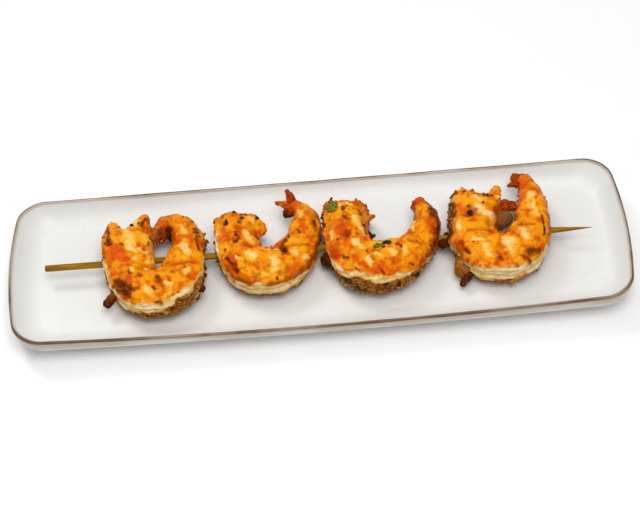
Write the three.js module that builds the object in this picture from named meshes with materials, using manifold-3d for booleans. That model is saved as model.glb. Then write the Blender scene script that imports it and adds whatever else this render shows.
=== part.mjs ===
// Grilled shrimp skewer on an oblong stoneware plate.
// Four curled, peeled shrimp lie on their sides in a row, threaded on one bamboo skewer.
// Millimetres, +Z up. The origin is the middle of the plate's foot, +X runs along the skewer
// towards its pointed end, and the curls open towards +Y.

import * as THREE from 'three';
import { ParametricGeometry } from 'three/addons/geometries/ParametricGeometry.js';
import { mergeVertices } from 'three/addons/utils/BufferGeometryUtils.js';
import Module from 'manifold-3d';

// Plate
const PLATE_LENGTH = 284;
const PLATE_WIDTH = 88;
const CORNER_RADIUS = 11.4;
const END_BOW = 4.2; // how far the short ends bulge out in their middle
const SIDE_BOW = 1.9; // how far the long sides bulge out in their middle
const RIM_HEIGHT = 16; // at the two ends
const RIM_DIP = 2.6; // how much lower the rim is halfway along
const FLOOR_HEIGHT = 7; // top face of the floor
const WALL_RUN = 12; // width of the soft slope from floor to rim
const FOOT_INSET = 13.5;
const FOOT_WIDTH = 3.5;
const FOOT_HEIGHT = 1.8;

// Skewer
const SKEWER_LENGTH = 251;
const SKEWER_DIAMETER = 3;
const SKEWER_POINT = 20; // length of the taper
const SKEWER_HEIGHT = 15; // of its middle line
const SKEWER_SHIFT = 0.3; // the middle of its length, towards the back of the plate
const SKEWER_TURN = -0.0056; // radians, seen from above

// Fits
const GAP = 0.3;
const degrees = THREE.MathUtils.degToRad;
const smooth = THREE.MathUtils.smoothstep;

// Shrimp: one body plan, walked from the cut head end to the tail in seven stretches
const STRETCHES = 7;
const BODY_DEPTH = [10.6, 10.6, 11.4, 12.5, 11, 8.3, 6.6, 3.8]; // back to belly, half
const BODY_THICKNESS = [7.4, 8.0, 8.3, 8.3, 8.0, 7.2, 6.2, 3.6]; // side to side, half
const SQUARENESS = 2.25; // exponent of the cross section, 2 is an ellipse
const SLIT_DEPTH = 1.7; // the cut along the back
const SLIT_SPREAD = 0.3; // radians
const CREASE_DEPTH = 0.8; // between two stretches
const CREASE_WIDTH = 1.5;
const RELIEF = 0.35; // height of the seared surface's unevenness
const HEAD_CAP = 3.2; // rounding of the two ends
const TAIL_CAP = 2.6;
const AROUND = 22;
const ALONG = 44;

// Each shrimp: where its head end starts, which way it heads there (degrees from +X), how long
// one stretch is, how much it bends in each stretch (degrees), how far the tail rises, how deep
// its head and tail ends are against the plan, and the lobes of the cut end as [place across,
// width, reach]: -1 is the belly side and 1 the back.
// Slips are tapered ends of flesh or tail shell that stand off the body, rooted at [share of the
// length, angle round the body] and given their [turn, rise] in degrees, length and two radii.
// Flakes lie on the skin at [share of the length, angle round the body in degrees, size].
const SHRIMP = [
  {
    name: 'shrimp_1',
    start: [-87, 16],
    heading: -106,
    stretch: 14.8,
    bends: [21, 19, 75, 67, 7, 37, 160],
    tailRise: -1.5,
    girth: [1.1, 1],
    lobes: [[-0.6, 0.36, 9], [0.15, 0.25, -3], [0.8, 0.3, 1.5]],
    slips: [[0.27, 0, 232, -12, 13.5, 3.2, 1.9]],
    flakes: [[0.02, 110, 4.5], [0.34, 62, 4], [0.56, -35, 5]],
  },
  {
    name: 'shrimp_2',
    start: [-36.5, 17.2],
    heading: -105,
    stretch: 11.7,
    bends: [20, 26, 55, 53, 17, 18, 60],
    tailRise: 1,
    girth: [1.02, 1.05],
    lobes: [[-0.8, 0.35, 3.5], [0.1, 0.4, 1], [0.9, 0.3, -1.5]],
    slips: [
      [1, 0, 106, 22, 10, 2.6, 1.4],
      [1, 0, 164, 10, 9, 2.6, 1],
      [1, 0, 200, -30, 7, 3.2, 2.2],
      [0.04, 180, 8, 0, 10.5, 3, 0.9],
    ],
    flakes: [[0.03, 75, 4], [0.5, 128, 5], [0.02, 140, 4]],
  },
  {
    name: 'shrimp_3',
    start: [14, 20.2],
    heading: -95,
    stretch: 13.1,
    bends: [4, 15, 59, 52, 18, 27, 47],
    tailRise: 1,
    girth: [1.05, 1],
    lobes: [[-0.6, 0.5, 1], [0.8, 0.3, 1.2]],
    slips: [
      [0.08, 180, 18, 8, 9, 2.6, 1],
      [0.17, 180, -6, 0, 8, 2.6, 1.2],
      [0.24, -42, 204, -6, 9.5, 4, 3.2],
    ],
    flakes: [[0.06, 62, 6], [0.47, 128, 5.5], [0.38, -28, 6]],
  },
  {
    name: 'shrimp_4',
    start: [75.4, 18.6],
    heading: -112,
    stretch: 13.1,
    bends: [12, 26, 71, 59, 22, 11, 20],
    tailRise: 1.5,
    girth: [1.03, 1.08],
    lobes: [[-0.85, 0.3, 3], [0, 0.35, 0], [0.85, 0.3, 3]],
    slips: [
      [0, 176, 66, 14, 10, 3.6, 2.6],
      [0.03, 180, 14, -22, 13, 3.8, 2],
      [1, 0, 150, 8, 6.5, 3.2, 2],
      [1, 0, 196, 0, 8.5, 2.4, 0.9],
      [0.3, -30, 214, -6, 11.5, 4.6, 3.6],
      [0.2, -20, 190, -4, 11, 3.2, 2.2],
    ],
    flakes: [[0.07, 0, 6], [0.3, 75, 4], [0.62, 20, 4]],
  },
];

const wasm = await Module();
wasm.setup();

// Surfaces and solids

// A closed surface from a function of two parameters: merged, without collapsed triangles, and
// with its faces pointing out.
function closedSurface(surface, slices, stacks) {
  const geometry = new ParametricGeometry(surface, slices, stacks);
  geometry.deleteAttribute('normal');
  geometry.deleteAttribute('uv');
  return tidied(mergeVertices(geometry, 1e-3));
}

function tidied(geometry) {
  const position = geometry.getAttribute('position');
  const index = geometry.getIndex().array;
  const corner = [new THREE.Vector3(), new THREE.Vector3(), new THREE.Vector3()];
  const kept = [];
  let volume = 0;
  for (let i = 0; i < index.length; i += 3) {
    const [a, b, c] = [index[i], index[i + 1], index[i + 2]];
    if (a === b || b === c || c === a) continue;
    kept.push(a, b, c);
    [a, b, c].forEach((vertex, k) => corner[k].fromBufferAttribute(position, vertex));
    volume += corner[0].dot(corner[1].clone().cross(corner[2]));
  }
  if (volume < 0) kept.reverse();
  geometry.setIndex(kept);
  return geometry;
}

function toSolid(geometry) {
  return new wasm.Manifold(new wasm.Mesh({
    numProp: 3,
    vertProperties: new Float32Array(geometry.getAttribute('position').array),
    triVerts: new Uint32Array(geometry.getIndex().array),
  }));
}

function toGeometry(solid) {
  const mesh = solid.getMesh();
  const geometry = new THREE.BufferGeometry();
  geometry.setAttribute('position', new THREE.BufferAttribute(mesh.vertProperties, 3));
  geometry.setIndex(new THREE.BufferAttribute(mesh.triVerts, 1));
  return geometry;
}

function named(name, geometry, colour, roughness) {
  geometry.computeVertexNormals();
  const material = new THREE.MeshStandardMaterial({ color: colour, roughness, metalness: 0 });
  const mesh = new THREE.Mesh(geometry, material);
  mesh.name = name;
  return mesh;
}

// Plate

// A quarter of a rounded rectangle with half sides a and b, from the middle of the short end
// to the middle of the long side: a straight run, the corner's arc, a straight run.
function quarterPoint(share, a, b, radius) {
  const endShare = 0.16;
  const sideShare = 0.5;
  if (share < endShare) return [a, (share / endShare) * (b - radius)];
  if (share > 1 - sideShare) return [((1 - share) / sideShare) * (a - radius), b];
  const angle = ((share - endShare) / (1 - endShare - sideShare)) * Math.PI / 2;
  return [a - radius + radius * Math.cos(angle), b - radius + radius * Math.sin(angle)];
}

// The plate's outline at a share u of the way round, moved in by the inset, its sides bowed out.
function plateOutline(u, inset) {
  const halfLength = PLATE_LENGTH / 2 - END_BOW;
  const halfWidth = PLATE_WIDTH / 2 - SIDE_BOW;
  const turn = (u % 1) * 4;
  const quarter = Math.floor(turn);
  const share = quarter % 2 === 0 ? turn - quarter : 1 - (turn - quarter);
  const radius = Math.max(CORNER_RADIUS - inset * 0.35, 7);
  const [x, y] = quarterPoint(share, halfLength - inset, halfWidth - inset, radius);
  const bowedX = x + END_BOW * (x / halfLength) * (1 - (y / halfWidth) ** 2);
  const bowedY = y + SIDE_BOW * (y / halfWidth) * (1 - (x / halfLength) ** 2);
  return [quarter === 0 || quarter === 3 ? bowedX : -bowedX, quarter < 2 ? bowedY : -bowedY];
}

// The plate's section as [inset from the edge, height], from the middle of the floor up the soft
// slope, over the rim, down the outside and round the foot to the middle of the underside.
function plateSection() {
  const section = [[FOOT_INSET * 2.4, FLOOR_HEIGHT], [WALL_RUN + 2, FLOOR_HEIGHT]];
  const rise = RIM_HEIGHT - 0.6 - FLOOR_HEIGHT;
  for (let i = 0; i <= 5; i += 1) {
    const run = i / 5;
    section.push([WALL_RUN - run * (WALL_RUN - 1.4), FLOOR_HEIGHT + 0.25 + (rise - 0.25) * run ** 1.9]);
  }
  section.push([0.9, RIM_HEIGHT], [0.2, RIM_HEIGHT - 0.5], [0, RIM_HEIGHT - 1.6]);
  section.push([0.4, RIM_HEIGHT - 5], [2.2, RIM_HEIGHT - 8.6], [6.2, RIM_HEIGHT - 11.4]);
  section.push([FOOT_INSET - 1.5, FOOT_HEIGHT + 0.5], [FOOT_INSET, 0]);
  section.push([FOOT_INSET + FOOT_WIDTH, 0], [FOOT_INSET + FOOT_WIDTH + 0.6, FOOT_HEIGHT]);
  return section;
}

function plate() {
  const section = plateSection();
  const last = section.length - 1;
  const halfLength = PLATE_LENGTH / 2;
  const surface = (u, v, target) => {
    const step = Math.round(v * (last + 2)) - 1;
    if (step < 0 || step > last) {
      target.set(0, 0, step < 0 ? FLOOR_HEIGHT : FOOT_HEIGHT);
      return;
    }
    const [inset, height] = section[step];
    const [x, y] = plateOutline(u, inset);
    const raised = smooth(height, FLOOR_HEIGHT * 0.4, RIM_HEIGHT);
    target.set(x, y, height - RIM_DIP * raised * (1 - (x / halfLength) ** 2));
  };
  const geometry = closedSurface(surface, 72, last + 2);
  return named('plate', geometry, 0xece8e1, 0.25);
}

// Skewer

// A round stick along X with a blunt end at -X and a long taper at +X. Growing it by a
// clearance gives the tool for the tunnels through the shrimp.
function stickGeometry(clearance) {
  const radius = SKEWER_DIAMETER / 2 + clearance;
  const half = SKEWER_LENGTH / 2 + clearance * 4;
  const profile = [
    [0, -half], [radius - 0.3, -half], [radius, -half + 0.4],
    [radius, half - SKEWER_POINT], [radius * 0.78, half - SKEWER_POINT * 0.5], [0.35 + clearance, half - 0.5],
    [0, half],
  ].map(([r, along]) => new THREE.Vector2(r, along));
  const geometry = new THREE.LatheGeometry(profile, 12);
  geometry.deleteAttribute('normal');
  geometry.deleteAttribute('uv');
  geometry.rotateZ(-Math.PI / 2);
  geometry.rotateZ(SKEWER_TURN);
  geometry.translate(0, SKEWER_SHIFT, SKEWER_HEIGHT);
  return tidied(mergeVertices(geometry, 1e-3));
}

// Shrimp

// Value at a share of the length, between the values given for equal steps.
function along(values, share) {
  const place = THREE.MathUtils.clamp(share, 0, 1) * (values.length - 1);
  const step = Math.min(Math.floor(place), values.length - 2);
  const between = place - step;
  const [a, b, c, d] = [-1, 0, 1, 2].map((k) => values[Math.min(Math.max(step + k, 0), values.length - 1)]);
  const slopeB = (c - a) / 2;
  const slopeC = (d - b) / 2;
  const [p, q] = [between ** 2, between ** 3];
  return b * (2 * q - 3 * p + 1) + slopeB * (q - 2 * p + between) + c * (3 * p - 2 * q) + slopeC * (q - p);
}

// The middle line: a chain of equal stretches, each an arc with its own bend. Gives the point at
// a share of the length and the direction there, in radians.
function middleLine(shrimp, share) {
  const reach = THREE.MathUtils.clamp(share, 0, 1) * STRETCHES;
  let [x, y] = shrimp.start;
  let heading = degrees(shrimp.heading);
  shrimp.bends.forEach((bend, i) => {
    const part = THREE.MathUtils.clamp(reach - i, 0, 1);
    const turn = degrees(bend) * part;
    const chord = turn > 1e-6 ? 2 * Math.sin(turn / 2) / turn : 1;
    x += shrimp.stretch * part * chord * Math.cos(heading + turn / 2);
    y += shrimp.stretch * part * chord * Math.sin(heading + turn / 2);
    heading += turn;
  });
  return [x, y, heading];
}

// Height of the seared skin's unevenness: slow waves of unlike lengths, from -1 to 1.
function unevenness(x, y, z) {
  const coarse = Math.sin(0.83 * x + 1.3) * Math.sin(0.71 * y + 0.4 * z);
  const fine = Math.sin(1.9 * x - 0.8 * y) * Math.sin(1.7 * z + 1.1 * y + 2);
  return 0.6 * coarse + 0.4 * fine;
}

// A point of the skin. Round the body, 0 is the back, a quarter turn the upper side, half a turn
// the belly. The crosswise ring is a rounded box that shrinks to a cap at both ends.
function skinPoint(shrimp, share, angle, capScale, capShift, target) {
  const [x, y, heading] = middleLine(shrimp, share);
  const [headGirth, tailGirth] = shrimp.girth;
  const girth = 1 + (headGirth - 1) * (1 - smooth(share, 0, 0.35)) + (tailGirth - 1) * smooth(share, 0.5, 0.75);
  const depth = along(BODY_DEPTH, share) * girth;
  const thickness = along(BODY_THICKNESS, share);
  const power = 2 / SQUARENESS;
  const cosine = Math.sign(Math.cos(angle)) * Math.abs(Math.cos(angle)) ** power;
  const sine = Math.sign(Math.sin(angle)) * Math.abs(Math.sin(angle)) ** power;

  const place = share * STRETCHES;
  const fromBorder = Math.abs(place - Math.round(place)) * shrimp.stretch;
  const crease = share < 0.93 ? CREASE_DEPTH * Math.exp(-((fromBorder / CREASE_WIDTH) ** 2)) : 0;
  const backness = Math.exp(-((Math.atan2(Math.sin(angle), Math.cos(angle)) / SLIT_SPREAD) ** 2));
  const slit = SLIT_DEPTH * backness * (1 - smooth(share, 0.6, 0.8));
  const bump = RELIEF * unevenness(x + depth * cosine, y, thickness * sine);
  const out = (depth - slit - crease * 0.6 + bump) * cosine * capScale;
  const up = (thickness - crease + bump) * sine * capScale;

  // the cut head end is lobed: bumps of its own across the body, dying out along it
  const across = out / BODY_DEPTH[0];
  const lobed = shrimp.lobes.reduce(
    (sum, [at, width, reach]) => sum + reach * Math.exp(-(((across - at) / width) ** 2)),
    0,
  );
  const back = capShift + lobed * Math.exp(-((share * STRETCHES * shrimp.stretch / 7) ** 2));
  const lift = shrimp.tailRise * smooth(share, 0.6, 1);
  const middle = FLOOR_HEIGHT + GAP + BODY_THICKNESS[3] + RELIEF;
  target.set(
    x + out * Math.sin(heading) - back * Math.cos(heading),
    y - out * Math.cos(heading) - back * Math.sin(heading),
    Math.max(middle + lift + up, FLOOR_HEIGHT + GAP),
  );
}

function shrimpBody(shrimp) {
  const capSteps = 3;
  const surface = (u, v, target) => {
    const step = v * ALONG;
    const angle = u * 2 * Math.PI;
    const headTurn = Math.min(step / capSteps, 1) * Math.PI / 2;
    const tailTurn = Math.min((ALONG - step) / capSteps, 1) * Math.PI / 2;
    const share = (step - capSteps) / (ALONG - 2 * capSteps);
    const shift = HEAD_CAP * Math.cos(headTurn) - TAIL_CAP * Math.cos(tailTurn);
    const scale = Math.min(Math.sin(headTurn), Math.sin(tailTurn));
    skinPoint(shrimp, THREE.MathUtils.clamp(share, 0, 1), angle, scale, shift, target);
  };
  return closedSurface(surface, AROUND, ALONG);
}

// A tapered slip of flesh or tail shell, rooted inside the body, with rounded ends.
function slip(shrimp, [share, angle, turn, rise, length, rootRadius, tipRadius]) {
  const rootDepth = 0.55;
  const root = new THREE.Vector3();
  skinPoint(shrimp, share, degrees(angle), share < 1 ? rootDepth : 0, 0, root);
  const level = Math.cos(degrees(rise));
  const direction = new THREE.Vector3(
    level * Math.cos(degrees(turn)),
    level * Math.sin(degrees(turn)),
    Math.sin(degrees(rise)),
  );
  const profile = [
    [0, -rootRadius * 0.6],
    [rootRadius * 0.8, -rootRadius * 0.1],
    [rootRadius, length * 0.35],
    [tipRadius, length - tipRadius],
    [tipRadius * 0.6, length - tipRadius * 0.2],
    [0, length],
  ].map(([radius, height]) => new THREE.Vector2(radius, height));
  const geometry = new THREE.LatheGeometry(profile, 7);
  geometry.deleteAttribute('normal');
  geometry.deleteAttribute('uv');
  const upright = new THREE.Vector3(0, 1, 0);
  geometry.applyQuaternion(new THREE.Quaternion().setFromUnitVectors(upright, direction));
  geometry.translate(root.x, root.y, root.z);
  return tidied(mergeVertices(geometry, 1e-3));
}

// A herb or char flake: a small leaf of the skin, lifted off it in the middle and sunk into it
// at its rim, so that it is fused to what it lies on.
function flake(shrimp, [share, turn, size]) {
  const length = STRETCHES * shrimp.stretch;
  const surface = (u, v, target) => {
    const round = u * 2 * Math.PI;
    const wide = Math.sin(v * Math.PI) * size / 2;
    const besideShare = share + wide * Math.cos(round) / length;
    const besideAngle = degrees(turn) + wide * 0.7 * Math.sin(round) / BODY_THICKNESS[3];
    skinPoint(shrimp, THREE.MathUtils.clamp(besideShare, 0, 1), besideAngle, 1, 0, target);
    const [x, y, heading] = middleLine(shrimp, share);
    const outward = new THREE.Vector3(
      Math.cos(degrees(turn)) * Math.sin(heading),
      -Math.cos(degrees(turn)) * Math.cos(heading),
      Math.sin(degrees(turn)),
    );
    target.addScaledVector(outward, (0.5 - v) * 2 + 0.3 * Math.sin(3 * round) * Math.sin(v * Math.PI));
  };
  return closedSurface(surface, 7, 4);
}

function shrimpMesh(shrimp) {
  let solid = toSolid(shrimpBody(shrimp));
  shrimp.slips.forEach((place) => {
    solid = solid.add(toSolid(slip(shrimp, place)));
  });
  shrimp.flakes.forEach((place) => {
    solid = solid.add(toSolid(flake(shrimp, place)));
  });
  solid = solid.subtract(toSolid(stickGeometry(GAP)));
  return named(shrimp.name, toGeometry(solid), 0xe3892e, 0.45);
}

const dish = new THREE.Group();
dish.add(plate());
dish.add(named('skewer', stickGeometry(0), 0xc79a55, 0.65));
SHRIMP.forEach((shrimp) => dish.add(shrimpMesh(shrimp)));

export default dish;
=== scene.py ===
"""A bamboo skewer of four grilled shrimp on an oblong stoneware plate: surfaces, finishes, light
and camera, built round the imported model. Sizes are in metres; MM turns millimetres into them."""

import bpy
import numpy as np
from mathutils import Matrix, Vector


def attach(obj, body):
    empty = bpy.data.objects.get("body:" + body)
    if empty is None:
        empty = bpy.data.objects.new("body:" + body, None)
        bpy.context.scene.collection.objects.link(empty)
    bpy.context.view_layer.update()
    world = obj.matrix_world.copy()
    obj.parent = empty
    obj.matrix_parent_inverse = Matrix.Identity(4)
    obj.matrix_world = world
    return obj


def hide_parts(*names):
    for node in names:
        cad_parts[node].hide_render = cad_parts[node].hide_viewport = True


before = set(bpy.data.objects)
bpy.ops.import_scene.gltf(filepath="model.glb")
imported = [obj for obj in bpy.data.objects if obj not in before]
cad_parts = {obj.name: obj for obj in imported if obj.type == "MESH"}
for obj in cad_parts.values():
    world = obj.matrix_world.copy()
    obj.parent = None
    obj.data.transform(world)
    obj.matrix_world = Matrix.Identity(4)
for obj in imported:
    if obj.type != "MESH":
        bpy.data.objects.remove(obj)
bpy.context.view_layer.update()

MM = 0.001

# Plate, in millimetres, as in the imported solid
PLATE_LENGTH = 284
PLATE_WIDTH = 88
CORNER_RADIUS = 11.4
END_BOW = 4.2
SIDE_BOW = 1.9
RIM_HEIGHT = 16
RIM_DIP = 2.6
FLOOR_HEIGHT = 7
WALL_RUN = 12
FOOT_INSET = 13.5
FOOT_WIDTH = 3.5
FOOT_HEIGHT = 1.8

# Skewer
SKEWER_LENGTH = 251
SKEWER_DIAMETER = 3
SKEWER_POINT = 20
SKEWER_HEIGHT = 15
SKEWER_SHIFT = 0.3
SKEWER_TURN = -0.0056

# Shrimp body plan, head end to tail in seven equal stretches
STRETCHES = 7
BODY_DEPTH = [10.6, 10.6, 11.4, 12.5, 11, 8.3, 6.6, 3.8]
BODY_THICKNESS = [7.4, 8.0, 8.3, 8.3, 8.0, 7.2, 6.2, 3.6]
SQUARENESS = 2.25
GAP = 0.3
HEAD_CAP = 3.2
TAIL_CAP = 2.6

# Each shrimp: its middle line, cut end and slips as in the imported solid. A slip is its share of the
# length, angle round the body, turn, rise, length, root and tip radius and finish. The pale cut
# along the back lies between band_bottom and band_top, degrees above the back from head to tail.
# An herb leaf is share, angle, length, width, turn and how burnt it is.
# Each shrimp's gold value scales its gold tone and the painted top light on its upward faces.
SHRIMP = {
    "shrimp_1": {
        "start": (-87, 16),
        "heading": -106,
        "stretch": 14.8,
        "bends": [21, 19, 75, 67, 7, 37, 160],
        "tail_rise": -1.5,
        "girth": (1.1, 1),
        "lobes": [(-0.6, 0.36, 9), (0.15, 0.25, -3), (0.8, 0.3, 1.5)],
        "slips": [
            (0.27, 0, 232, -12, 12.5, 1.9, 2.3, "char"),
            (0.54, -4, -24, -8, 7, 2.2, 1.7, "char"),
            (0.05, 180, -8, -4, 8.5, 5.4, 4.2, "flap"),
        ],
        "band_top": [22, 24, 34, 44, 38, 34, 44, 48, 38, 30, 20, 10, 0, 0, 0],
        "band_bottom": [20, 18, 8, -15, -14, -9, 0, 34, 24, 10, 20, 10, 0, 0, 0],
        "leaves": [
            (0.04, 118, 3.2, 1.5, 30, 0.4),
            (0.02, 100, 2.4, 1.2, 80, 0.6),
            (0.10, 150, 2.6, 1.0, 10, 0.6),
            (0.75, 56, 2.6, 1.2, 70, 0.5),
            (0.09, 45, 2.2, 0.9, 20, 0.7),
        ],
        "tail_tint": 1.0,
        "golden": 0.92,
        "swells": [(0.07, 176, 0.2, 168, 3.4)],
        "seed": 11,
    },
    "shrimp_2": {
        "start": (-36.5, 17.2),
        "heading": -105,
        "stretch": 11.7,
        "bends": [20, 26, 55, 53, 17, 18, 60],
        "tail_rise": 1,
        "girth": (1.02, 1.05),
        "lobes": [(-0.8, 0.35, 3.5), (0.1, 0.4, 1), (0.9, 0.3, -1.5)],
        "slips": [
            (1, 0, 112, 22, 10, 2.3, 1.2, "tail"),
            (1, 0, 160, 8, 10, 2.7, 1.1, "fan"),
            (1, 0, 200, -30, 7, 3.2, 2.2, "char"),
            (0.06, 176, 6, 3, 8.5, 5.4, 3.6, "skin"),
        ],
        "band_top": [32, 36, 44, 44, 20, 12, 30, 8, -4, -13, -20, -20, -20, -20, -20],
        "band_bottom": [28, 26, 20, 0, -25, -28, -30, -28, -26, -26, -24, -22, -20, -20, -20],
        "leaves": [
            (0.06, 100, 2.6, 1.3, 40, 0.6),
            (0.02, 104, 2.2, 1.2, 70, 0.6),
            (0.57, 104, 4.6, 1.5, 85, 0.9),
            (0.50, 120, 2.4, 1.0, 60, 0.6),
            (0.16, 92, 2.0, 0.9, 15, 0.9),
        ],
        "tail_tint": 0.35,
        "golden": 1.03,
        "swells": [],
        "seed": 23,
    },
    "shrimp_3": {
        "start": (14, 20.2),
        "heading": -95,
        "stretch": 13.1,
        "bends": [4, 15, 59, 52, 18, 27, 47],
        "tail_rise": 1,
        "girth": (1.05, 1),
        "lobes": [(-0.6, 0.5, 1), (0.8, 0.3, 1.2)],
        "slips": [
            (0.08, 180, 18, 8, 8.5, 3.6, 1.5, "crust"),
            (0.17, 180, -6, 0, 7.5, 3.4, 1.6, "char"),
            (0.24, -42, 204, -6, 9.5, 4, 3.2, "char"),
        ],
        "band_top": [30, 30, 28, 24, 26, 40, 49, 41, 30, 16, -8, -14, -16, -18, -18],
        "band_bottom": [18, 18, 17, 0, -5, 14, 25, 20, 10, -6, -18, -20, -20, -20, -20],
        "leaves": [
            (0.035, 62, 7.5, 6.0, 20, 0.1),
            (0.45, 128, 5.5, 3.0, 15, 0.5),
            (0.56, 130, 5.4, 3.0, -10, 0.7),
            (0.51, 118, 2.6, 1.4, 50, 0.7),
            (0.371, -4, 5.6, 3.4, 15, 0.6),
            (0.40, -14, 3.6, 2.2, 60, 0.3),
            (0.415, -26, 4.8, 2.2, -5, 0.2),
        ],
        "tail_tint": 0.8,
        "golden": 0.88,
        "swells": [(0.4, 145, 0.6, 135, 2.2)],
        "seed": 37,
    },
    "shrimp_4": {
        "start": (75.4, 18.6),
        "heading": -112,
        "stretch": 13.1,
        "bends": [12, 26, 71, 59, 22, 11, 20],
        "tail_rise": 1.5,
        "girth": (1.03, 1.08),
        "lobes": [(-0.85, 0.3, 3), (0, 0.35, 0), (0.85, 0.3, 3)],
        "slips": [
            (0, 176, 66, 14, 10, 3, 2.1, "skin"),
            (0.03, 180, 20, -18, 14.5, 3.9, 3.2, "tail"),
            (1, 0, 150, 8, 6.5, 3.2, 2, "tail"),
            (1, 0, 196, 0, 8.5, 2.4, 0.9, "tail"),
            (0.31, -34, 232, -8, 11, 5, 3.6, "flap"),
            # a dark piece filling the hole under the arch: painted shade, not flesh
            (0.1, 212, 14, -4, 13.5, 4.6, 4.1, "shade"),
            (0.33, -42, 238, -10, 14, 1.7, 1.7, "burnt"),
            (0.2, -20, 190, -4, 12.5, 3.6, 3.0, "burnt"),
        ],
        "band_top": [28, 30, 30, 26, 6, 28, 42, 30, 24, 14, 12, 0, -10, -16, -16],
        "band_bottom": [14, 14, 12, 2, -16, -26, -18, -20, -24, -22, -17, -15, -16, -16, -16],
        "leaves": [
            (0.10, 34, 4.6, 2.0, 10, 0.7),
            (0.05, 30, 3.8, 1.8, -15, 0.8),
            (0.17, 16, 3.6, 1.6, -10, 0.6),
            (0.27, -42, 4.4, 2.2, 20, 0.9),
            (0.06, 108, 1.8, 0.8, 40, 0.9),
            (0.60, 20, 2.4, 1.0, 10, 0.6),
            (0.133, 84, 3.0, 2.5, 0, 1.4),
            (0.0, 112, 1.7, 1.2, 20, 1.4),
            (0.0, 122, 1.5, 1.1, 60, 1.4),
        ],
        "tail_tint": 0.8,
        "golden": 1.03,
        "swells": [(0.05, 12, 0.25, 6, 3.0)],
        "seed": 51,
    },
}
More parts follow.
